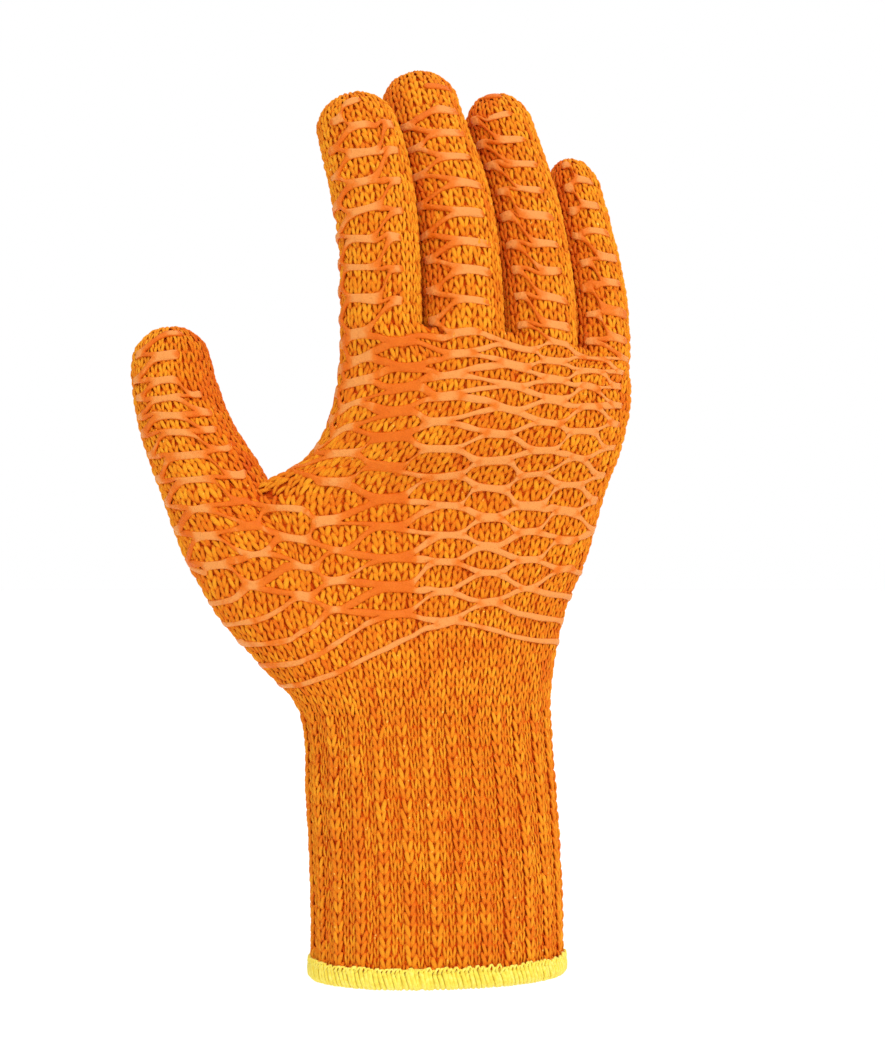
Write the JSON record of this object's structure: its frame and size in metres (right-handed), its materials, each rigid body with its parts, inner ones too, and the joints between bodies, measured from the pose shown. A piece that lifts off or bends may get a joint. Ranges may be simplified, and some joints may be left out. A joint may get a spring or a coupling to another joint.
{
  "type": "knit work glove",
  "caption": "Seamless string-knit work glove with a grip net on both faces, a long ribbed cuff and an overlocked hem, held in its worn shape.",
  "frame": {"origin": "middle of the wrist opening, level with the lower edge of the hem", "axes": "+Z from the wrist opening to the fingertips, -Y out of the back of the hand, +X towards the little finger"},
  "size_m": [0.1554, 0.0667, 0.2763],
  "materials": {
    "knit": "matt spun yarn in a plain and rib knit",
    "hem_thread": "overlock thread with a soft sheen",
    "grip_compound": "satin soft vinyl compound, slightly translucent"
  },
  "bodies": {
    "root": {"rib_cuff": "knit", "overlock_hem": "hem_thread", "palm_body": "knit", "thumb_stall": "knit", "index_stall": "knit", "middle_stall": "knit", "ring_stall": "knit", "little_stall": "knit", "back_net_on_palm": "grip_compound", "back_net_on_thumb": "grip_compound", "back_net_on_index": "grip_compound", "back_net_on_middle": "grip_compound", "back_net_on_ring": "grip_compound", "back_net_on_little": "grip_compound", "palm_net_on_palm": "grip_compound", "palm_net_on_thumb": "grip_compound", "palm_net_on_index": "grip_compound", "palm_net_on_middle": "grip_compound", "palm_net_on_ring": "grip_compound", "palm_net_on_little": "grip_compound"}
  },
  "joints": []
}
